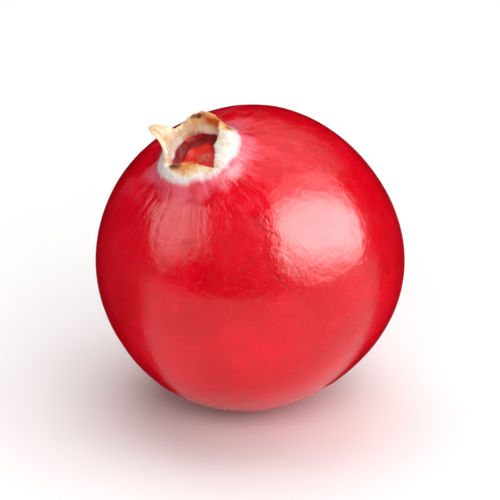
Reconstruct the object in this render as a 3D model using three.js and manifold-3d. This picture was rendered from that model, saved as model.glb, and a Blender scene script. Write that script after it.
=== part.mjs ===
// A fresh cranberry, picked off its stalk and lying on a flat surface.
//
// The fruit is one piece. It is a nearly round berry whose skin rises into a short collar at the
// blossom end. The collar carries the four lobes of the calyx, and inside it a shallow crater
// holds the nectar disc with the scar of the style. The stalk's scar lies at the other end.
//
// Millimetres, +Z up. The origin is under the middle of the berry, on the surface that it lies on.
// The berry's own axis runs from the stalk's scar to the calyx and leans away from vertical.
// Along it, "rho" is a distance from the axis and "height" a distance from the berry's middle;
// "polar" is an angle from the calyx end, and "azimuth" an angle around the axis.

import * as THREE from "three";
import { mergeVertices } from "three/addons/utils/BufferGeometryUtils.js";
import Module from "manifold-3d";

const { degToRad, lerp, smoothstep } = THREE.MathUtils;

// ---- Driving dimensions ---------------------------------------------------------------------

const EQUATOR_RADIUS = 9.0;
const POLAR_RADIUS = 8.85;

// How the berry lies: the lean of its axis, the way that it leans, and its turn about the axis.
const LEAN = degToRad(27.4);
const LEAN_HEADING = degToRad(-136);
const ROLL = degToRad(200);

// The small spot that the berry's weight presses flat.
const FLAT_SPOT_RADIUS = 1.45;

// Cheeks where the berry falls short of an ellipsoid: middle, greatest depth and reach.
const FLAT_CHEEKS = [
  { polar: degToRad(138), azimuth: degToRad(239), depth: 0.28, reach: degToRad(34) },
  { polar: degToRad(83), azimuth: degToRad(321), depth: 0.2, reach: degToRad(26) },
];

// Faint swellings from end to end, one over each seed chamber.
const CHAMBERS = 4;
const CHAMBER_SWELL = 0.035;

// The collar rises from its foot to the rim, which is a little higher on one side.
const COLLAR_FOOT_RHO = 3.7;
const RIM_RHO = 2.18;
const RIM_HEIGHT = 0.5;
const RIM_SLOPE = 0.16;
const RIM_SLOPE_AZIMUTH = degToRad(125);

// The side where the rim is pinched in towards the axis.
const RIM_PINCH = { azimuth: degToRad(108), depth: 0.34, reach: degToRad(42) };

// The calyx lobes. "width" is the half angle between a lobe's notches and "edges" the hollowness
// of its two sides, below 1 if full. "lean" is the outward tilt at the root and "curl" what each
// millimetre towards the tip adds to it. "thickness" is measured at the root.
const LOBES = [
  { azimuth: 9, width: 46, length: 1.08, edges: [0.8, 0.8], lean: 4, curl: 5, thickness: 0.3 },
  { azimuth: 83, width: 44, length: 1.85, edges: [1.9, 3.2], lean: -8, curl: 46, thickness: 0.3 },
  { azimuth: 187, width: 46, length: 1.15, edges: [0.8, 0.8], lean: -45, curl: -60, thickness: 0.5 },
  { azimuth: 284, width: 52, length: 1.22, edges: [0.6, 0.5], lean: -35, curl: -60, thickness: 0.6 },
];
const LOBE_FULLNESS = 1.3;
const LOBE_TAPER = 2.5;
const NOTCH_LENGTH = 0.16;

// The crater from under the rim to the axis, as rho and depth: its wall, the groove, the nectar
// disc and the pit left by the style.
const CRATER = [
  [1.86, 0.26],
  [1.68, 0.58],
  [1.45, 0.78],
  [1.2, 0.66],
  [0.8, 0.54],
  [0.42, 0.56],
  [0.18, 0.68],
  [0, 0.66],
];

// The stalk's scar and its dimple, as rho and rise above the end of the ellipsoid.
const STALK_END = [
  [0, 0.38],
  [0.42, 0.37],
  [0.58, 0.47],
  [0.95, 0.38],
  [1.45, 0.26],
];
const DIMPLE_RHO = 2.2;

// Fineness of the surface.
const AZIMUTH_STEPS = 72;
const SKIN_STEPS = 20;
const COLLAR_STEPS = 4;
const LOBE_STATIONS = [0.2, 0.5, 0.8];
const LOBE_PATH_STEPS = 12;

// ---- The berry about its own axis -------------------------------------------------------------

/** Unit vector at a polar angle and an azimuth. */
function direction(polar, azimuth) {
  const across = Math.sin(polar);
  return new THREE.Vector3(across * Math.cos(azimuth), across * Math.sin(azimuth), Math.cos(polar));
}

/** Difference of two angles, from -PI to PI. */
function turn(from, to) {
  return Math.atan2(Math.sin(to - from), Math.cos(to - from));
}

/** Distance of the skin from the berry's middle. */
function skinRadius(polar, azimuth) {
  const ellipsoid = 1 / Math.hypot(Math.sin(polar) / EQUATOR_RADIUS, Math.cos(polar) / POLAR_RADIUS);
  const swelling = CHAMBER_SWELL * Math.sin(polar) ** 2 * Math.cos(CHAMBERS * azimuth);
  const here = direction(polar, azimuth);
  const flattening = FLAT_CHEEKS.reduce((sum, cheek) => {
    const away = here.angleTo(direction(cheek.polar, cheek.azimuth)) / cheek.reach;
    return sum + cheek.depth * Math.exp(-away * away);
  }, 0);
  return ellipsoid + swelling - flattening;
}

/** Height of the skin near the calyx, as if the collar were not there. */
function skinHeight(rho, azimuth) {
  const radius = skinRadius(Math.asin(rho / EQUATOR_RADIUS), azimuth);
  return Math.sqrt(radius * radius - rho * rho);
}

/** Distance from the axis of the rim that the lobes stand on. */
function rimRho(azimuth) {
  const away = turn(RIM_PINCH.azimuth, azimuth) / RIM_PINCH.reach;
  return RIM_RHO - RIM_PINCH.depth * Math.exp(-away * away);
}

/** Height of the rim that the lobes stand on. */
function rimHeight(azimuth) {
  const slope = RIM_SLOPE * Math.cos(azimuth - RIM_SLOPE_AZIMUTH);
  return skinHeight(RIM_RHO, azimuth) + RIM_HEIGHT + slope;
}

/** Length, lean, curl and thickness of the calyx at an azimuth, blended from lobe to lobe. */
function calyxAt(azimuth) {
  const calyx = { length: NOTCH_LENGTH, lean: 0, curl: 0, thickness: 0 };
  let weights = 0;
  for (const lobe of LOBES) {
    const away = turn(degToRad(lobe.azimuth), azimuth) / degToRad(lobe.width);
    const edge = lobe.edges[away < 0 ? 0 : 1];
    const outline = Math.max(0, 1 - Math.abs(away) ** LOBE_FULLNESS) ** edge;
    const weight = Math.exp(-3 * away * away);
    calyx.length += (lobe.length - NOTCH_LENGTH) * outline;
    calyx.lean += weight * degToRad(lobe.lean);
    calyx.curl += weight * degToRad(lobe.curl);
    calyx.thickness += weight * lobe.thickness;
    weights += weight;
  }
  calyx.lean /= weights;
  calyx.curl /= weights;
  calyx.thickness /= weights;
  return calyx;
}

/** A point on a lobe. "share" runs from root to tip; "side" is 1 outside, -1 inside, 0 between. */
function lobePoint(azimuth, share, side) {
  const { length, lean, curl, thickness } = calyxAt(azimuth);
  const step = (length * share) / LOBE_PATH_STEPS;
  const point = new THREE.Vector2(rimRho(azimuth), rimHeight(azimuth));
  for (let i = 0; i < LOBE_PATH_STEPS; i++) {
    const tilt = lean + curl * step * (i + 0.5);
    point.x += step * Math.sin(tilt);
    point.y += step * Math.cos(tilt);
  }
  const tilt = lean + curl * length * share;
  const offset = (side * thickness * Math.sqrt(1 - share ** LOBE_TAPER)) / 2;
  point.x += offset * Math.cos(tilt);
  point.y -= offset * Math.sin(tilt);
  return point;
}

/** The stalk's scar and its dimple. */
function stalkEnd() {
  return STALK_END.map(([rho, rise]) => new THREE.Vector2(rho, rise - POLAR_RADIUS));
}

/** The round of the berry, from the dimple to the collar's foot. */
function skin(azimuth) {
  const first = Math.PI - Math.asin(DIMPLE_RHO / EQUATOR_RADIUS);
  const last = Math.asin(COLLAR_FOOT_RHO / EQUATOR_RADIUS);
  return Array.from({ length: SKIN_STEPS + 1 }, (_, i) => {
    const polar = lerp(first, last, i / SKIN_STEPS);
    const radius = skinRadius(polar, azimuth);
    return new THREE.Vector2(radius * Math.sin(polar), radius * Math.cos(polar));
  });
}

/** The outside of the collar, flaring up from its foot to the root of the lobes. */
function collar(azimuth) {
  const foot = skin(azimuth).at(-1);
  const root = lobePoint(azimuth, 0, 1);
  const rise = root.y - skinHeight(root.x, azimuth);
  return Array.from({ length: COLLAR_STEPS }, (_, i) => {
    const share = (i + 1) / COLLAR_STEPS;
    const rho = lerp(foot.x, root.x, share);
    return new THREE.Vector2(rho, skinHeight(rho, azimuth) + rise * share * share);
  });
}

/** A lobe, up its outer face, over its edge and down its inner face. */
function lobe(azimuth) {
  const outside = LOBE_STATIONS.map((share) => lobePoint(azimuth, share, 1));
  const inside = LOBE_STATIONS.map((share) => lobePoint(azimuth, share, -1)).reverse();
  return [...outside, lobePoint(azimuth, 1, 0), ...inside, lobePoint(azimuth, 0, -1)];
}

/** The crater, from its wall to the axis, where the rim's ups and downs have died away. */
function crater(azimuth) {
  const level = skinHeight(RIM_RHO, RIM_SLOPE_AZIMUTH + Math.PI / 2) + RIM_HEIGHT;
  return CRATER.map(([rho, depth]) => {
    const top = lerp(level, rimHeight(azimuth), smoothstep(rho, 0, RIM_RHO));
    return new THREE.Vector2((rho * rimRho(azimuth)) / RIM_RHO, top - depth);
  });
}

/** Half section of the berry, from the stalk's scar round to the scar of the style. */
function section(azimuth) {
  return [...stalkEnd(), ...skin(azimuth), ...collar(azimuth), ...lobe(azimuth), ...crater(azimuth)];
}

/** The berry about +Z: a lathe whose section changes with the azimuth. */
function berryGeometry() {
  const rows = section(0).length;
  const geometry = new THREE.LatheGeometry(section(0), AZIMUTH_STEPS);
  const position = geometry.getAttribute("position");
  for (let step = 0; step <= AZIMUTH_STEPS; step++) {
    const azimuth = ((step % AZIMUTH_STEPS) * 2 * Math.PI) / AZIMUTH_STEPS;
    section(azimuth).forEach(({ x: rho, y: height }, row) => {
      const index = step * rows + row;
      position.setXYZ(index, rho * Math.cos(azimuth), rho * Math.sin(azimuth), height);
    });
  }
  return geometry;
}

// ---- The berry on its surface -----------------------------------------------------------------

const wasm = await Module();
wasm.setup();

/** A closed geometry as a solid that can be cut. */
function solidFrom(geometry) {
  const bare = geometry.clone();
  bare.deleteAttribute("normal");
  bare.deleteAttribute("uv");
  const merged = mergeVertices(bare, 1e-4);
  return new wasm.Manifold(
    new wasm.Mesh({
      numProp: 3,
      vertProperties: merged.getAttribute("position").array,
      triVerts: new Uint32Array(merged.index.array),
    }),
  );
}

/** A solid as a geometry again. */
function geometryFrom(solid) {
  const mesh = solid.getMesh();
  const geometry = new THREE.BufferGeometry();
  geometry.setAttribute("position", new THREE.BufferAttribute(mesh.vertProperties, 3));
  geometry.setIndex(new THREE.BufferAttribute(mesh.triVerts, 1));
  geometry.computeVertexNormals();
  return geometry;
}

/** Presses the flat spot into the underside and sets the berry down at the origin. */
function setDown(geometry) {
  geometry.computeBoundingBox();
  const press = EQUATOR_RADIUS - Math.sqrt(EQUATOR_RADIUS ** 2 - FLAT_SPOT_RADIUS ** 2);
  const below = new THREE.BoxGeometry(2 * EQUATOR_RADIUS, 2 * EQUATOR_RADIUS, EQUATOR_RADIUS);
  below.translate(0, 0, geometry.boundingBox.min.z + press - EQUATOR_RADIUS / 2);
  const resting = geometryFrom(solidFrom(geometry).subtract(solidFrom(below)));
  resting.computeBoundingBox();
  const { min, max } = resting.boundingBox;
  return resting.translate(-(min.x + max.x) / 2, -(min.y + max.y) / 2, -min.z);
}

const lie = new THREE.Matrix4()
  .makeRotationZ(LEAN_HEADING)
  .multiply(new THREE.Matrix4().makeRotationY(LEAN))
  .multiply(new THREE.Matrix4().makeRotationZ(ROLL));

const waxySkin = new THREE.MeshStandardMaterial({ color: 0xc8101c, roughness: 0.3, metalness: 0 });

const cranberry = new THREE.Mesh(setDown(berryGeometry().applyMatrix4(lie)), waxySkin);
cranberry.name = "cranberry";

const part = new THREE.Group();
part.add(cranberry);

export default part;
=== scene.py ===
"""A fresh cranberry on a pale floor, under soft boxes.

The berry is one fine mesh. It repeats the shape of the CAD node that it replaces: a half section
that changes with the azimuth about the berry's own axis, from the stalk's scar round to the scar
of the style. Its sizes are in millimetres until the mesh is made.

"rho" is a distance from the berry's axis and "height" one along it from the berry's middle.
"polar" is an angle from the calyx end and "azimuth" an angle around the axis.
"""

import math

import bpy
import numpy as np
from mathutils import Matrix, Vector


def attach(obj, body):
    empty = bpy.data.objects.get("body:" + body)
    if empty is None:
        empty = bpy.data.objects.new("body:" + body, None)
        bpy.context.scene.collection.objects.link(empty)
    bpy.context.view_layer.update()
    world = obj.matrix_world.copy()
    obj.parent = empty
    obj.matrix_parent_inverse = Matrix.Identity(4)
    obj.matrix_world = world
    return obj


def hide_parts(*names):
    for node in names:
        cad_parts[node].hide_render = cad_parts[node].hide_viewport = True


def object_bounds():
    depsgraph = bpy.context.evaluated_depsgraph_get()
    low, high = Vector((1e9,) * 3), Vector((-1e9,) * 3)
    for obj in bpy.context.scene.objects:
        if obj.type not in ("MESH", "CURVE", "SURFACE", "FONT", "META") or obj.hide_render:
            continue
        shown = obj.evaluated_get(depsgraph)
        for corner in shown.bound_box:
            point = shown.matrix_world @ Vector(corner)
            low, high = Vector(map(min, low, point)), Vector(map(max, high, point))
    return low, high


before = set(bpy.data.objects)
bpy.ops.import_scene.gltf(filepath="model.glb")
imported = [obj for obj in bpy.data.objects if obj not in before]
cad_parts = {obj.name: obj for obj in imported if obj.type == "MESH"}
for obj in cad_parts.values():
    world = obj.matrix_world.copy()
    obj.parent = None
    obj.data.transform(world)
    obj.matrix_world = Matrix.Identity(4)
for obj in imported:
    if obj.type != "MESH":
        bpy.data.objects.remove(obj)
CAD_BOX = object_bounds()
MM = 0.001

# ---- The view and the stage -------------------------------------------------------------------

VIEW_ELEVATION = math.radians(25)
VIEW_DISTANCE = 0.30
VIEW_WIDTH = 0.029
SENSOR_WIDTH = 36
FLOOR_SIZE = 1.2
WORLD_STRENGTH = 0.004

LIGHT_DISTANCE = 0.45
# Every light hangs this much nearer than the last: two in one plane would hide each other.
LIGHT_STEP = 0.002

# ---- The berry's shape ------------------------------------------------------------------------

EQUATOR_RADIUS = 9.0
POLAR_RADIUS = 8.85
LEAN = math.radians(27.4)
LEAN_HEADING = math.radians(-136)
ROLL = math.radians(200)
FLAT_SPOT_RADIUS = 1.45

# Polar angle, azimuth, depth and reach of each flattened cheek.
FLAT_CHEEKS = ((138, 239, 0.28, 34), (83, 321, 0.2, 26))
CHAMBERS = 4
CHAMBER_SWELL = 0.035

COLLAR_FOOT_RHO = 3.7
RIM_RHO = 2.18
# Azimuth, depth and reach of the side where the rim is pinched in.
RIM_PINCH = (108, 0.34, 42)
RIM_HEIGHT = 0.5
RIM_SLOPE = 0.16
RIM_SLOPE_AZIMUTH = math.radians(125)

# The calyx lobes. "width" is the half angle between a lobe's notches and "edges" the hollowness
# of its two sides, below 1 if full. "lean" is the outward tilt at the root and "curl" what each
# millimetre towards the tip adds to it. "thickness" is measured at the root. "tan" and "brown"
# say how far a lobe has dried, at its root and at its tip.
LOBES = (
    dict(azimuth=9, width=46, length=1.08, edges=(0.8, 0.8), lean=4, curl=5, thickness=0.3,
         tan=(0.34, 0.50), brown=(0.0, 0.2)),
    dict(azimuth=83, width=44, length=1.85, edges=(1.9, 3.2), lean=-8, curl=46, thickness=0.3,
         tan=(0.26, 0.34), brown=(0.0, 0.1)),
    dict(azimuth=187, width=46, length=1.15, edges=(0.8, 0.8), lean=-45, curl=-60, thickness=0.5,
         tan=(0.0, 0.5), brown=(0.0, 0.1)),
    dict(azimuth=284, width=52, length=1.22, edges=(0.6, 0.5), lean=-35, curl=-60, thickness=0.6,
         tan=(0.0, 0.1), brown=(0.0, 0.0)),
)
# Azimuth, height over the root, reach in degrees and in millimetres, and how tan and how brown.
DRY_AND_SHADE_PATCHES = (
    (-14, 0.55, 20, 0.50, 0.75, 0.0),
    (16, 0.80, 11, 0.17, 0.4, 1.1),
    (-38, 0.20, 9, 0.30, 0.9, 0.75),
    (196, 0.90, 26, 0.55, 0.9, 0.1),
    # The next two patches darken the gap between the lobes at 83 and 187 degrees: partly real
    # browning, partly painted shade in that gap.
    (170, 0.55, 14, 0.30, 0.6, 0.6),
    (156, 0.45, 10, 0.26, 0.6, 1.0),
    (222, 0.50, 8, 0.20, 0.4, 0.3),
)
LOBE_FULLNESS = 1.3
LOBE_TAPER = 2.5
NOTCH_LENGTH = 0.16
RAGGEDNESS = 0.025
LOBE_PATH_STEPS = 12

# The crater from under the rim to the axis, as rho and depth.
CRATER = ((1.86, 0.26), (1.68, 0.58), (1.45, 0.78), (1.2, 0.66), (0.8, 0.54), (0.42, 0.56),
          (0.18, 0.68), (0.0, 0.66))
# The stalk's scar and its dimple, as rho and rise above the end of the ellipsoid.
STALK_END = ((0.0, 0.38), (0.42, 0.37), (0.58, 0.47), (0.95, 0.38), (1.45, 0.26))
DIMPLE_RHO = 2.2

# Fineness of the mesh.
COLUMNS = 440
SKIN_ROWS = 92
COLLAR_ROWS = 26
LOBE_ROWS = 22
CRATER_ROWS = 34
STALK_ROWS = 10
CURVE_STEPS = 24

# Relief: how many waves make up each noise, and the spacing of the disc's rings.
WAVE_COUNT = 24
RING_SPACING = 0.24

# What a millimetre away from the axis counts for in the patterns that run along the half sections.
RAY_STRETCH = 0.06


def smooth(low, high, x):
    """0 below low, 1 above high, and a smooth step between."""
    t = np.clip((x - low) / (high - low), 0, 1)
    return t * t * (3 - 2 * t)


def turn(start, end):
    """Difference of two angles, from -pi to pi."""
    return np.arctan2(np.sin(end - start), np.cos(end - start))


def direction(polar, azimuth):
    """Unit vectors at polar angles and azimuths."""
    across = np.sin(polar)
    return np.stack([across * np.cos(azimuth), across * np.sin(azimuth), np.cos(polar)], -1)


def skin_radius(polar, azimuth):
    """Distance of the skin from the berry's middle."""
    radius = 1 / np.hypot(np.sin(polar) / EQUATOR_RADIUS, np.cos(polar) / POLAR_RADIUS)
    radius = radius + CHAMBER_SWELL * np.sin(polar) ** 2 * np.cos(CHAMBERS * azimuth)
    here = direction(polar, azimuth)
    for cheek_polar, cheek_azimuth, depth, reach in FLAT_CHEEKS:
        middle = direction(math.radians(cheek_polar), math.radians(cheek_azimuth))
        away = np.arccos(np.clip(here @ middle, -1, 1)) / math.radians(reach)
        radius = radius - depth * np.exp(-away * away)
    return radius


def skin_height(rho, azimuth):
    """Height of the skin near the calyx, as if the collar were not there."""
    radius = skin_radius(np.arcsin(rho / EQUATOR_RADIUS) + 0 * azimuth, azimuth)
    return np.sqrt(radius * radius - rho * rho)


def rim_rho(azimuth):
    """Distance from the axis of the rim that the lobes stand on."""
    at, depth, reach = RIM_PINCH
    away = turn(math.radians(at), azimuth) / math.radians(reach)
    return RIM_RHO - depth * np.exp(-away * away)


def rim_height(azimuth):
    """Height of the rim that the lobes stand on."""
    slope = RIM_SLOPE * np.cos(azimuth - RIM_SLOPE_AZIMUTH)
    return skin_height(RIM_RHO, azimuth) + RIM_HEIGHT + slope


def waves(points, wavelength, seed):
    """Smooth random noise, about -1 to 1, from plane waves of random direction."""
    rng = np.random.default_rng(seed)
    ways = rng.normal(size=(WAVE_COUNT, 3))
    ways *= (2 * math.pi / wavelength) / np.linalg.norm(ways, axis=1, keepdims=True)
    phases = rng.uniform(0, 2 * math.pi, WAVE_COUNT)
    return np.cos(points @ ways.T + phases).sum(-1) * math.sqrt(1 / WAVE_COUNT)


def ripple(azimuth, orders, seed):
    """Random noise around the axis, about -1 to 1."""
    rng = np.random.default_rng(seed)
    phases = rng.uniform(0, 2 * math.pi, len(orders))
    total = sum(np.cos(n * azimuth + phase) for n, phase in zip(orders, phases))
    return total / math.sqrt(len(orders))


class Section:
    """The half sections at all azimuths, row by row, with what each row is."""

    def __init__(self, azimuth):
        self.azimuth = azimuth
        self.rho = []
        self.height = []
        self.facts = {name: [] for name in
                      ("collar", "lobe", "edge", "inside", "crater", "disc", "stalk")}

    def row(self, rho, height, **facts):
        flat = np.zeros_like(self.azimuth)
        self.rho.append(rho + flat)
        self.height.append(height + flat)
        for name, rows in self.facts.items():
            rows.append(facts.get(name, 0.0) + flat)


def calyx_at(azimuth):
    """Length, lean, curl and thickness of the calyx, blended from lobe to lobe."""
    length = NOTCH_LENGTH + 0 * azimuth
    blend = {"lean": 0, "curl": 0, "thickness": 0}
    weights = 0
    for lobe in LOBES:
        away = turn(math.radians(lobe["azimuth"]), azimuth) / math.radians(lobe["width"])
        edge = np.where(away < 0, *lobe["edges"])
        outline = np.maximum(0, 1 - np.abs(away) ** LOBE_FULLNESS) ** edge
        weight = np.exp(-3 * away * away)
        length = length + (lobe["length"] - NOTCH_LENGTH) * outline
        blend["lean"] += weight * math.radians(lobe["lean"])
        blend["curl"] += weight * math.radians(lobe["curl"])
        blend["thickness"] += weight * lobe["thickness"]
        weights = weights + weight
    ragged = 1 + RAGGEDNESS * ripple(azimuth, (9, 14, 22, 31), seed=5)
    return length * ragged, *(value / weights for value in blend.values())


def lobe_point(azimuth, calyx, share, side):
    """A point on the lobes: share is 0 at the root and 1 at the edge, side 1 outside."""
    length, lean, curl, thickness = calyx
    step = length * share / LOBE_PATH_STEPS
    rho = rim_rho(azimuth)
    height = rim_height(azimuth)
    for i in range(LOBE_PATH_STEPS):
        tilt = lean + curl * step * (i + 0.5)
        rho = rho + step * np.sin(tilt)
        height = height + step * np.cos(tilt)
    tilt = lean + curl * length * share
    offset = side * thickness * math.sqrt(1 - share ** LOBE_TAPER) / 2
    return rho + offset * np.cos(tilt), height - offset * np.sin(tilt)


def through(points, count):
    """Points spaced evenly along a smooth curve through the given (rho, height) points."""
    points = np.array(points, float)
    padded = np.vstack([2 * points[0] - points[1], points, 2 * points[-1] - points[-2]])
    samples = []
    for i in range(len(points) - 1):
        p0, p1, p2, p3 = padded[i:i + 4]
        for t in np.linspace(0, 1, CURVE_STEPS, endpoint=False):
            samples.append(0.5 * (2 * p1 + (p2 - p0) * t
                                  + (2 * p0 - 5 * p1 + 4 * p2 - p3) * t * t
                                  + (3 * p1 - p0 - 3 * p2 + p3) * t ** 3))
    samples = np.array(samples + [points[-1]])
    run = np.concatenate([[0], np.cumsum(np.linalg.norm(np.diff(samples, axis=0), axis=1))])
    at = np.linspace(0, run[-1], count)
    return np.stack([np.interp(at, run, samples[:, 0]), np.interp(at, run, samples[:, 1])], 1)


def berry_section(azimuth):
    """Every row of the berry's surface about its own axis."""
    section = Section(azimuth)

    for rho, rise in through(STALK_END, STALK_ROWS):
        section.row(rho, rise - POLAR_RADIUS, stalk=1 - smooth(0.4, 0.8, rho))

    first = math.pi - math.asin(DIMPLE_RHO / EQUATOR_RADIUS)
    last = math.asin(COLLAR_FOOT_RHO / EQUATOR_RADIUS)
    for i in range(SKIN_ROWS + 1):
        polar = first + (last - first) * i / SKIN_ROWS
        radius = skin_radius(polar + 0 * azimuth, azimuth)
        section.row(radius * math.sin(polar), radius * math.cos(polar))

    calyx = calyx_at(azimuth)
    length = calyx[0]
    root_rho, root_height = lobe_point(azimuth, calyx, 0, 1)
    rise = root_height - skin_height(root_rho, azimuth)
    foot_rho = section.rho[-1]
    for i in range(1, COLLAR_ROWS + 1):
        share = i / COLLAR_ROWS
        rho = foot_rho + (root_rho - foot_rho) * share
        section.row(rho, skin_height(rho, azimuth) + rise * share * share, collar=share)

    for i in range(1, LOBE_ROWS + 1):
        share = 1 - (1 - i / LOBE_ROWS) ** 1.5
        rho, height = lobe_point(azimuth, calyx, share, 1)
        section.row(rho, height, collar=1, lobe=share * length, edge=share)
    for i in range(1, LOBE_ROWS + 1):
        share = 1 - (i / LOBE_ROWS) ** 1.5
        rho, height = lobe_point(azimuth, calyx, share, -1)
        section.row(rho, height, collar=1, lobe=share * length, edge=share, inside=1)

    level = skin_height(RIM_RHO, np.array([RIM_SLOPE_AZIMUTH + math.pi / 2]))[0] + RIM_HEIGHT
    for rho, depth in through(CRATER, CRATER_ROWS):
        rim = level + (rim_height(azimuth) - level) * smooth(0, RIM_RHO, rho)
        section.row(rho * rim_rho(azimuth) / RIM_RHO, rim - depth, collar=1, inside=1,
                    crater=smooth(0.1, 0.75, depth), disc=1 - smooth(1.2, 1.42, rho))
    return section


def grid_normals(points):
    """Unit normals of the closed grid, outwards."""
    around = np.roll(points, -1, 0) - np.roll(points, 1, 0)
    along = np.gradient(points, axis=1)
    normals = np.cross(around, along)
    return normals / np.maximum(np.linalg.norm(normals, axis=-1, keepdims=True), 1e-9)


def berry_points():
    """The plain surface as a grid of points about the berry's axis, and the facts of each."""
    azimuth = np.linspace(0, 2 * math.pi, COLUMNS, endpoint=False)
    section = berry_section(azimuth)
    rho = np.stack(section.rho, 1)
    height = np.stack(section.height, 1)
    facts = {name: np.stack(rows, 1) for name, rows in section.facts.items()}
    turned = azimuth[:, None] + 0 * rho
    points = np.stack([rho * np.cos(turned), rho * np.sin(turned), height], -1)
    return points, turned, rho, facts


def relief(points, azimuth, rho, facts):
    """How far the surface stands out from its plain shape."""
    body = 1 - facts["collar"]
    ribs = ripple(azimuth, (13, 18, 25, 33), seed=11)
    lumps = waves(points, 1.1, seed=3)
    grain = waves(points, 0.32, seed=4)
    on_lobe = smooth(0.0, 0.25, facts["lobe"])
    in_crater = facts["crater"]
    rings = np.cos(rho * 2 * math.pi / RING_SPACING)
    # The factors are heights in millimetres.
    out = body * (0.02 * waves(points, 7.0, seed=1) + 0.005 * waves(points, 1.9, seed=2))
    out += facts["collar"] ** 2 * (1 - in_crater) * (0.010 * ribs + 0.024 * lumps + 0.004 * grain)
    out += on_lobe * 0.004 * ribs
    out += in_crater * (0.012 * grain + 0.045 * waves(points, 0.8, seed=6))
    out += facts["disc"] * (0.004 * rings + 0.03 * lumps)
    out += facts["stalk"] * 0.02 * waves(points, 0.25, seed=8)
    return out * smooth(0.0, 0.12, rho)


def stains(azimuth, facts):
    """How tan and how brown each point of the calyx is."""
    tan = 0
    brown = 0
    weights = 0
    for lobe in LOBES:
        away = turn(math.radians(lobe["azimuth"]), azimuth) / math.radians(lobe["width"])
        weight = np.exp(-4 * away * away)
        share = facts["lobe"] / lobe["length"]
        tan = tan + weight * np.interp(share, (0.1, 0.95), lobe["tan"])
        brown = brown + weight * np.interp(share, (0.72, 0.9), lobe["brown"])
        weights = weights + weight
    tan, brown = tan / weights, brown / weights
    on_calyx = smooth(0.8, 1.0, facts["collar"])
    for at, rise, reach, height, more_tan, more_brown in DRY_AND_SHADE_PATCHES:
        away = np.degrees(turn(math.radians(at), azimuth)) / reach
        weight = on_calyx * np.exp(-away ** 2 - ((facts["lobe"] - rise) / height) ** 2)
        tan = tan + more_tan * weight
        brown = brown + more_brown * weight
    return tan, brown


def lay_down(points):
    """The grid of points as the berry lies: leaning, pressed flat underneath, and in metres."""
    lie = (Matrix.Rotation(LEAN_HEADING, 3, "Z") @ Matrix.Rotation(LEAN, 3, "Y")
           @ Matrix.Rotation(ROLL, 3, "Z"))
    placed = points @ np.array(lie).T
    press = EQUATOR_RADIUS - math.sqrt(EQUATOR_RADIUS ** 2 - FLAT_SPOT_RADIUS ** 2)
    floor = placed[..., 2].min() + press
    placed[..., 2] = np.maximum(placed[..., 2], floor) - floor
    low = placed.reshape(-1, 3).min(0)
    high = placed.reshape(-1, 3).max(0)
    cad_low, cad_high = (np.array(corner) for corner in CAD_BOX)
    placed *= MM
    placed[..., :2] += ((cad_low + cad_high) / 2)[:2] - (low + high)[:2] / 2 * MM
    return placed


def grid_mesh(name, grid):
    """A closed mesh of the grid, whose first and last rows are each one point on the axis."""
    columns, rows = grid.shape[:2]
    vertices = np.vstack([grid[0, 0], grid[:, 1:-1].reshape(-1, 3), grid[0, -1]])
    span = rows - 2
    index = 1 + np.arange(columns)[:, None] * span + np.arange(span)[None, :]
    following = np.roll(index, -1, 0)
    quads = np.stack([index[:, :-1], following[:, :-1], following[:, 1:], index[:, 1:]], -1)
    top = len(vertices) - 1
    faces = quads.reshape(-1, 4).tolist()
    faces += [(0, b, a) for a, b in zip(index[:, 0].tolist(), following[:, 0].tolist())]
    faces += [(top, a, b) for a, b in zip(index[:, -1].tolist(), following[:, -1].tolist())]
    mesh = bpy.data.meshes.new(name)
    mesh.from_pydata(vertices.tolist(), [], faces)
    mesh.validate()
    mesh.shade_smooth()
    return mesh


def keep(mesh, name, values, kind="FLOAT", field="value"):
    """Stores a grid of values on the points of the grid's mesh."""
    inner = values[:, 1:-1].reshape(-1, *values.shape[2:])
    flat = np.concatenate([values[0, :1], inner, values[0, -1:]])
    attribute = mesh.attributes.new(name, kind, "POINT")
    attribute.data.foreach_set(field, flat.astype(np.float32).ravel())


def make_berry():
    """The berry as one mesh object, which keeps on its points what its material needs."""
    points, azimuth, rho, facts = berry_points()
    normals = grid_normals(points)
    points = points + normals * relief(points, azimuth, rho, facts)[..., None]
    facts["tan"], facts["brown"] = stains(azimuth, facts)

    mesh = grid_mesh("cranberry_skin", lay_down(points))
    for name, values in facts.items():
        keep(mesh, name, values)
    # Places for patterns that run along the half sections.
    ray = np.stack([np.cos(azimuth), np.sin(azimuth), rho * RAY_STRETCH], -1)
    keep(mesh, "ray", ray, "FLOAT_VECTOR", "vector")
    # How far from the calyx: rho on the calyx's half of the berry, and the most below it.
    keep(mesh, "spread", np.where(points[..., 2] > 0, rho, EQUATOR_RADIUS))
    berry = bpy.data.objects.new("cranberry_skin", mesh)
    bpy.context.scene.collection.objects.link(berry)
    return berry


# ---- Materials --------------------------------------------------------------------------------


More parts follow.
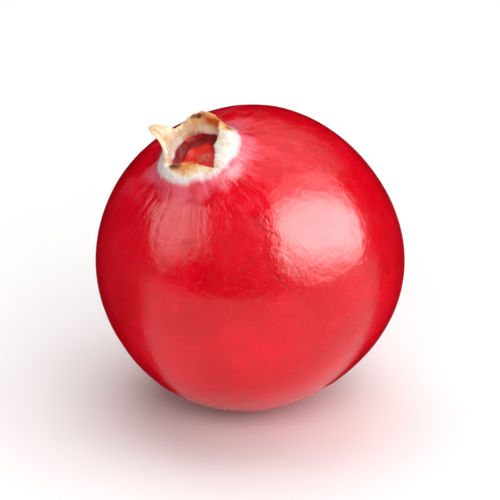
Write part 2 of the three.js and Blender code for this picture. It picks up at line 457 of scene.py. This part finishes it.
class Shader:
    """A material whose nodes are added one at a time."""

    def __init__(self, name):
        self.material = bpy.data.materials.new(name)
        self.material.use_nodes = True
        self.nodes = self.material.node_tree.nodes
        self.links = self.material.node_tree.links
        self.nodes.clear()

    def add(self, kind, inputs=None, **settings):
        node = self.nodes.new("ShaderNode" + kind)
        for name, value in settings.items():
            setattr(node, name, value)
        for key, value in (inputs or {}).items():
            if isinstance(value, bpy.types.NodeSocket):
                self.links.new(value, node.inputs[key])
            else:
                node.inputs[key].default_value = value
        return node

    def attribute(self, name, output="Fac"):
        return self.add("Attribute", attribute_name=name).outputs[output]

    def math(self, operation, *values):
        inputs = dict(enumerate(values))
        return self.add("Math", inputs, operation=operation).outputs[0]

    def step(self, value, low, high, to_low=0.0, to_high=1.0):
        inputs = {0: value, 1: low, 2: high, 3: to_low, 4: to_high}
        node = self.add("MapRange", inputs, interpolation_type="SMOOTHSTEP")
        return node.outputs[0]

    def mix(self, factor, a, b):
        return self.add("Mix", {0: factor, 6: a, 7: b}, data_type="RGBA").outputs[2]

    def noise(self, vector, scale, detail=3.0, roughness=0.55):
        inputs = {"Vector": vector, "Scale": scale, "Detail": detail, "Roughness": roughness}
        return self.add("TexNoise", inputs).outputs[0]

    def bump(self, height, distance, normal=None):
        inputs = {"Height": height, "Distance": distance}
        if normal is not None:
            inputs["Normal"] = normal
        return self.add("Bump", inputs).outputs[0]

    def finish(self, **inputs):
        shader = self.add("BsdfPrincipled", {k.replace("_", " "): v for k, v in inputs.items()})
        self.add("OutputMaterial", {"Surface": shader.outputs[0]})
        return self.material


def rgb(red, green, blue):
    """A colour given as 8-bit sRGB."""
    def linear(c):
        c = c / 255
        return c / 12.92 if c <= 0.04045 else ((c + 0.055) / 1.055) ** 2.4
    return linear(red), linear(green), linear(blue), 1.0


# How far the relief in the material stands out, in metres.
SKIN_BUMP = 0.000014
FIBRE_BUMP = 0.00002

# Fine scratches in the skin: start and end, to the right of the berry's middle and above it as
# seen from the camera, in berry radii.
SCRATCHES = (
    ((0.03, 0.24), (0.13, 0.11)),
    ((0.09, 0.25), (0.13, 0.20)),
    ((0.23, 0.00), (0.32, -0.13)),
    ((0.17, -0.14), (0.25, -0.23)),
)
SCRATCH_WIDTH = 0.009
SCRATCH_WOBBLE = 0.035


def seen_at(right, up):
    """The way from the berry's middle to the skin that the camera sees at these offsets."""
    front = math.sqrt(1 - right * right - up * up)
    high, level = math.sin(VIEW_ELEVATION), math.cos(VIEW_ELEVATION)
    return Vector((right, up * high - front * level, up * level + front * high))


def scratches(s, place):
    """1 on a scratch and 0 off it."""
    middle = (0, 0, EQUATOR_RADIUS * MM)
    way = s.add("VectorMath", {0: place, 1: middle}, operation="SUBTRACT").outputs[0]
    way = s.add("VectorMath", {0: way}, operation="NORMALIZE").outputs[0]
    wobble = s.add("TexNoise", {"Vector": way, "Scale": 22.0, "Detail": 3.0}).outputs[1]
    wobble = s.add("VectorMath", {0: wobble, 1: (0.5, 0.5, 0.5)}, operation="SUBTRACT").outputs[0]
    wobble = s.add("VectorMath", {0: wobble, "Scale": SCRATCH_WOBBLE},
                   operation="SCALE").outputs[0]
    way = s.add("VectorMath", {0: way, 1: wobble}, operation="ADD").outputs[0]
    total = None
    for start, end in SCRATCHES:
        start, end = seen_at(*start), seen_at(*end)
        along = end - start
        offset = s.add("VectorMath", {0: way, 1: start}, operation="SUBTRACT").outputs[0]
        run = s.add("VectorMath", {0: offset, 1: along / along.length_squared},
                    operation="DOT_PRODUCT").outputs["Value"]
        run = s.add("Clamp", {0: run}).outputs[0]
        nearest = s.add("VectorMath", {0: along, "Scale": run}, operation="SCALE").outputs[0]
        gap = s.add("VectorMath", {0: offset, 1: nearest}, operation="DISTANCE").outputs["Value"]
        mark = s.step(gap, 0.001, SCRATCH_WIDTH, 1, 0)
        total = mark if total is None else s.math("MAXIMUM", total, mark)
    return total


class BerrySkin(Shader):
    """The berry's material, with the patterns that its colours and its relief share."""

    def __init__(self):
        super().__init__("cranberry_skin")
        self.place = self.add("TexCoord").outputs["Object"]
        self.ray = self.attribute("ray", "Vector")
        self.rho = self.attribute("spread")
        self.disc = self.attribute("disc")
        self.crater = self.attribute("crater")
        self.broad = self.noise(self.place, 230, 4)
        self.fine = self.noise(self.place, 2400, 3)
        pores = self.add("TexVoronoi", {"Vector": self.place, "Scale": 3600, "Randomness": 1.0})
        self.dots = self.step(pores.outputs[0], 0.10, 0.34, 1, 0)
        self.marks = scratches(self, self.place)
        self.fibres = self.noise(self.ray, 15, 4, 0.6)
        self.blots = self.noise(self.place, 1100, 4)

    def skin(self):
        """Red skin with mottling, pores and marks, and pale rays that run from the collar."""
        red = self.mix(self.step(self.broad, 0.35, 0.68), rgb(206, 0, 20), rgb(224, 0, 31))
        red = self.mix(self.step(self.fine, 0.45, 0.8, 0, 0.18), red, rgb(244, 10, 46))
        red = self.mix(self.math("MULTIPLY", self.dots, 0.1), red, rgb(244, 90, 104))
        rays = self.noise(self.ray, 2.6, 5, 0.6)
        broken = self.step(self.noise(self.place, 900, 3), 0.3, 0.7, -0.12, 0.12)
        uneven = self.math("ADD", rays, broken)
        long_rays = self.math("MULTIPLY", self.step(self.rho, 2.6, 7.8, 0.32, 0),
                              self.step(uneven, 0.46, 0.72))
        red = self.mix(long_rays, red, rgb(240, 84, 100))
        near = self.math("ADD", self.step(self.rho, 2.3, 4.1, 1, 0),
                         self.step(uneven, 0.3, 0.7, -0.35, 0.35))
        red = self.mix(self.step(near, 0.25, 1.15, 0, 0.7), red, rgb(234, 110, 130))
        halo = self.math("ADD", self.step(self.rho, 2.3, 2.78, 1, 0),
                         self.step(uneven, 0.3, 0.7, -0.2, 0.2))
        red = self.mix(self.step(halo, 0.3, 1.05), red, rgb(232, 218, 216))
        return self.mix(self.math("MULTIPLY", self.marks, 0.6), red, rgb(96, 0, 8))

    def calyx(self):
        """White to cream flesh, tan where it has dried."""
        cream = self.mix(self.step(self.fibres, 0.35, 0.7), rgb(232, 228, 221),
                         rgb(228, 218, 204))
        cream = self.mix(self.step(self.blots, 0.48, 0.7, 0, 0.9), cream, rgb(198, 192, 184))
        tan = self.math("ADD", self.attribute("tan"),
                        self.step(self.blots, 0.3, 0.7, -0.25, 0.25))
        tan = self.math("ADD", tan, self.step(self.fibres, 0.3, 0.7, -0.04, 0.04))
        calyx = self.mix(self.step(tan, 0.0, 0.35), cream, rgb(228, 206, 168))
        calyx = self.mix(self.step(tan, 0.3, 0.7), calyx, rgb(218, 160, 100))
        return self.mix(self.step(tan, 0.6, 1.15), calyx, rgb(200, 104, 30))

    def browned(self, colour):
        """The colour with dark brown where the calyx has withered, and brown as painted shade in
        the gap between two lobes.
        """
        patch = self.noise(self.place, 2300, 3)
        brown = self.math("ADD", self.attribute("brown"),
                          self.step(patch, 0.3, 0.7, -0.35, 0.35))
        colour = self.mix(self.step(brown, 0.15, 0.85, 0, 0.5), colour, rgb(126, 72, 34))
        return self.mix(self.step(brown, 0.55, 1.15, 0, 0.85), colour, rgb(78, 34, 14))

    def shaded_wall(self):
        """The crater's wall: its own red, painted darker as painted shade in the recess."""
        streaks = self.step(self.noise(self.ray, 9, 3), 0.35, 0.7)
        shaded_wall = self.mix(streaks, rgb(110, 4, 4), rgb(150, 12, 10))
        return self.mix(self.step(self.blots, 0.45, 0.65), shaded_wall, rgb(176, 34, 30))

    def nectar_disc(self):
        """The crater's floor, red-orange with faint rings."""
        across = self.add("CombineXYZ", {0: self.rho}).outputs[0]
        waves = self.add("TexWave", {"Vector": across, "Scale": 1.3, "Distortion": 0.6})
        floor = self.mix(self.step(self.blots, 0.5, 0.68), rgb(226, 36, 20), rgb(236, 116, 104))
        return self.mix(self.step(waves.outputs[1], 0.1, 0.9, 0, 0.25), floor, rgb(200, 30, 16))

    def colour(self):
        """The colour of the whole berry."""
        calyx = self.calyx()
        colour = self.mix(self.step(self.attribute("lobe"), 0.0, 0.12), self.skin(), calyx)
        root = self.math("MULTIPLY", self.attribute("inside"),
                         self.step(self.crater, 0.0, 0.3, 1, 0))
        root = self.math("MULTIPLY", root, self.step(self.attribute("edge"), 0, 0.2, 1, 0))
        colour = self.browned(self.mix(root, colour, calyx))
        # Darker red the deeper into the crater: painted shade in the recess, over the wall's own
        # red.
        depth = self.math("ADD", self.crater, self.step(self.blots, 0.3, 0.7, -0.15, 0.15))
        colour = self.mix(self.step(depth, 0.05, 0.35), colour, self.shaded_wall())
        colour = self.mix(self.disc, colour, self.nectar_disc())
        style = self.step(self.rho, 0.1, 0.3, self.math("MULTIPLY", self.disc, 0.35), 0)
        colour = self.mix(style, colour, rgb(226, 150, 96))
        stalk = self.step(self.attribute("stalk"), 0.2, 0.8)
        return self.mix(stalk, colour, rgb(146, 96, 56))

    def normal(self, dry):
        """Fine relief: pores, unevenness, streaks and marks, and fibres where the skin is dry."""
        relief = self.math("ADD", self.math("MULTIPLY", self.dots, -0.35), self.fine)
        lumps = self.noise(self.place, 520, 4, 0.6)
        relief = self.math("ADD", relief, self.math("MULTIPLY", lumps, 9.0))
        streaks = self.math("MULTIPLY", self.noise(self.ray, 8, 3),
                            self.step(self.rho, 3.5, 8.2, 7, 0))
        relief = self.math("ADD", relief, streaks)
        relief = self.math("ADD", relief, self.math("MULTIPLY", self.marks, -0.5))
        normal = self.bump(relief, SKIN_BUMP)
        return self.bump(self.math("MULTIPLY", self.fibres, dry), FIBRE_BUMP, normal)

    def finished(self):
        """The material: waxy skin, and a dry matt calyx."""
        dry = self.step(self.attribute("collar"), 0.6, 1.0)
        rough = self.math("ADD", self.step(self.broad, 0.3, 0.7, 0.17, 0.23),
                          self.math("MULTIPLY", dry, 0.3))
        return self.finish(
            Base_Color=self.colour(), Roughness=rough, IOR=1.33, Normal=self.normal(dry),
            Subsurface_Weight=0.2, Subsurface_Radius=(1.0, 0.1, 0.08), Subsurface_Scale=0.0012,
            Coat_Weight=self.step(dry, 0, 1, 0.5, 0), Coat_Roughness=0.08, Coat_IOR=1.33,
        )


def floor_material():
    s = Shader("floor")
    place = s.add("TexCoord").outputs["Object"]
    away = s.add("VectorMath", {0: place}, operation="LENGTH").outputs["Value"]
    # Painted light: the floor is lighter near its middle and darker away from it, a painted
    # fall-off of the light round the berry.
    near = s.mix(s.noise(place, 90, 2), rgb(243, 242, 242), rgb(245, 244, 244))
    painted_falloff_tone = s.mix(s.step(away, 0.04, 0.3), near, rgb(178, 177, 177))
    return s.finish(Base_Color=painted_falloff_tone, Roughness=1.0, Specular_IOR_Level=0.0)


# ---- The scene --------------------------------------------------------------------------------

centre = Vector([(a + b) / 2 for a, b in zip(*CAD_BOX)])

berry = make_berry()
berry.data.materials.append(BerrySkin().finished())
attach(berry, "root")
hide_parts("cranberry")

bpy.ops.mesh.primitive_plane_add(size=FLOOR_SIZE)
floor = bpy.context.object
floor.name = "floor"
floor.data.materials.append(floor_material())


def soft_box(name, toward, up, size, edge, middle, middle_at=(0.5, 0.5), reach=(0.6, 0.6),
             gloss_only=False, matt_only=False):
    """A rectangular light that faces the berry, brighter in its middle than at its edge.

    edge and middle are radiances. reach is how far the middle's glow spreads along each side, as
    a share of that side. A light that is gloss_only shows in reflections and lights nothing;
    one that is matt_only does the opposite.
    """
    toward = Vector(toward).normalized()
    across = Vector(up).cross(toward).normalized()
    turned = Matrix((across, toward.cross(across), toward)).transposed()
    light = bpy.data.lights.new(name, "AREA")
    light.shape = "RECTANGLE"
    light.size, light.size_y = size
    light.energy = math.pi * size[0] * size[1]
    light.use_nodes = True
    nodes = light.node_tree.nodes
    place = nodes.new("ShaderNodeNewGeometry")
    away = nodes.new("ShaderNodeMapping")
    away.vector_type = "TEXTURE"
    away.inputs["Location"].default_value = (*middle_at, 0)
    away.inputs["Scale"].default_value = (*reach, 1)
    length = nodes.new("ShaderNodeVectorMath")
    length.operation = "LENGTH"
    fall = nodes.new("ShaderNodeMapRange")
    fall.interpolation_type = "SMOOTHSTEP"
    fall.inputs["From Min"].default_value = 0.3
    fall.inputs["To Min"].default_value = middle
    fall.inputs["To Max"].default_value = edge
    for output, socket in (
        (place.outputs["Parametric"], away.inputs["Vector"]),
        (away.outputs[0], length.inputs[0]),
        (length.outputs["Value"], fall.inputs["Value"]),
        (fall.outputs[0], nodes["Emission"].inputs["Strength"]),
    ):
        light.node_tree.links.new(output, socket)
    lamp = bpy.data.objects.new(name, light)
    distance = LIGHT_DISTANCE - LIGHT_STEP * len(bpy.data.lights)
    lamp.matrix_world = Matrix.Translation(centre + toward * distance) @ turned.to_4x4()
    lamp.visible_diffuse = not gloss_only
    lamp.visible_glossy = not matt_only
    bpy.context.scene.collection.objects.link(lamp)


# The way to a window-like light, its upward direction and its size.
MAIN = ((0.753, -0.31, 0.55), (-0.31, 0.61, 0.73), (0.62, 0.68))
SIDE = ((-0.818, -0.236, 0.6), (0.13, 0.73, 0.54), (0.36, 0.46))
soft_box("main_box", *MAIN, 1.15, 1.25, reach=(1.6, 0.7))
soft_box("main_glow", *MAIN, 0.8, 15.2, middle_at=(0.4, 0.5), reach=(0.95, 0.38), gloss_only=True)
soft_box("low_glow", *MAIN, 0.0, 2.6, middle_at=(0.45, 0.1), reach=(1.2, 0.5), gloss_only=True)
soft_box("side_box", *SIDE, 0.15, 0.3, middle_at=(0.5, 0.6), reach=(0.8, 0.7))
soft_box("side_glow", *SIDE, 0.9, 3.7, middle_at=(0.5, 0.6), reach=(1.1, 0.65), gloss_only=True)
soft_box("top_box", (0.1, 0.6, 1.0), (0, 1, -0.6), (0.7, 0.62), 0.2, 1.1, middle_at=(0.58, 0.25),
         reach=(1.2, 0.75))
soft_box("front_fill", (0.0, -0.85, 0.5), (0, 0.5, 0.85), (0.4, 0.4), 2.4, 2.4, matt_only=True)
soft_box("top_fill", (0.0, 0.35, 1.0), (0, 1, -0.35), (0.4, 0.4), 1.5, 1.5, matt_only=True)


# The dark card, in metres. Its skirt is given as radius and height, and its top is lower at the
# card's two ends and higher at the back.
CARD_START = math.radians(-26)
CARD_END = math.radians(220)
CARD_COLUMNS = 60
CARD_FADING_COLUMNS = 3
CARD_SKIRT = ((0.005, 0), (0.0095, 0.002), (0.0125, 0.006))
CARD_RADIUS = 0.0125
CARD_END_TOP = 0.0145
CARD_RISE_FROM_ENDS = 0.0035
CARD_RISE_AT_BACK = 0.003
CARD_FADING_HEIGHT = 0.004
CARD_GLOW = (0.10, 0.0, 0.001, 1)


def dark_card():
    """A curved card behind and beside the berry, seen only in reflections. Its edges fade out."""
    vertices = []
    veil = []
    for i in range(CARD_COLUMNS + 1):
        heading = CARD_START + (CARD_END - CARD_START) * i / CARD_COLUMNS
        from_end = min(i, CARD_COLUMNS - i)
        near_end = from_end / CARD_COLUMNS
        top = (CARD_END_TOP + CARD_RISE_FROM_ENDS * min(1, 6 * near_end)
               + CARD_RISE_AT_BACK * max(0, math.sin(heading)) ** 2)
        rings = (*CARD_SKIRT, (CARD_RADIUS, top - CARD_FADING_HEIGHT), (CARD_RADIUS, top))
        for radius, height in rings:
            vertices.append((radius * math.cos(heading), radius * math.sin(heading), height))
            strength = 0 if height == top else 1
            veil.append(strength * min(1, from_end / CARD_FADING_COLUMNS))
    count = len(rings)
    faces = [(count * i + j, count * (i + 1) + j, count * (i + 1) + j + 1, count * i + j + 1)
             for i in range(CARD_COLUMNS) for j in range(count - 1)]
    mesh = bpy.data.meshes.new("dark_card")
    mesh.from_pydata(vertices, [], faces)
    mesh.attributes.new("veil", "FLOAT", "POINT").data.foreach_set("value", veil)
    card = bpy.data.objects.new("dark_card", mesh)
    bpy.context.scene.collection.objects.link(card)
    card.visible_camera = False
    card.visible_diffuse = False
    card.visible_shadow = False
    card.visible_transmission = False
    s = Shader("dark_card")
    clear = s.add("BsdfTransparent").outputs[0]
    glow = s.add("Emission", {"Color": CARD_GLOW}).outputs[0]
    veil = s.step(s.attribute("veil"), 0, 1)
    surface = s.add("MixShader", {0: veil, 1: clear, 2: glow}).outputs[0]
    s.add("OutputMaterial", {"Surface": surface})
    mesh.materials.append(s.material)


dark_card()

world = bpy.data.worlds.new("world")
world.use_nodes = True
background = world.node_tree.nodes["Background"]
background.inputs["Color"].default_value = (1.0, 1.0, 1.0, 1)
background.inputs["Strength"].default_value = WORLD_STRENGTH
bpy.context.scene.world = world

camera_data = bpy.data.cameras.new("camera")
camera_data.sensor_width = SENSOR_WIDTH
camera_data.lens = SENSOR_WIDTH * VIEW_DISTANCE / VIEW_WIDTH
camera_data.clip_start = 0.01
camera = bpy.data.objects.new("camera", camera_data)
aim = Vector((0, 0, (CAD_BOX[0][2] + CAD_BOX[1][2]) / 2))
away = Vector((0, -math.cos(VIEW_ELEVATION), math.sin(VIEW_ELEVATION)))
camera.location = aim + away * VIEW_DISTANCE
camera.rotation_euler = away.to_track_quat("Z", "Y").to_euler()
bpy.context.scene.collection.objects.link(camera)
bpy.context.scene.camera = camera
bpy.context.scene.view_settings.view_transform = "Standard"
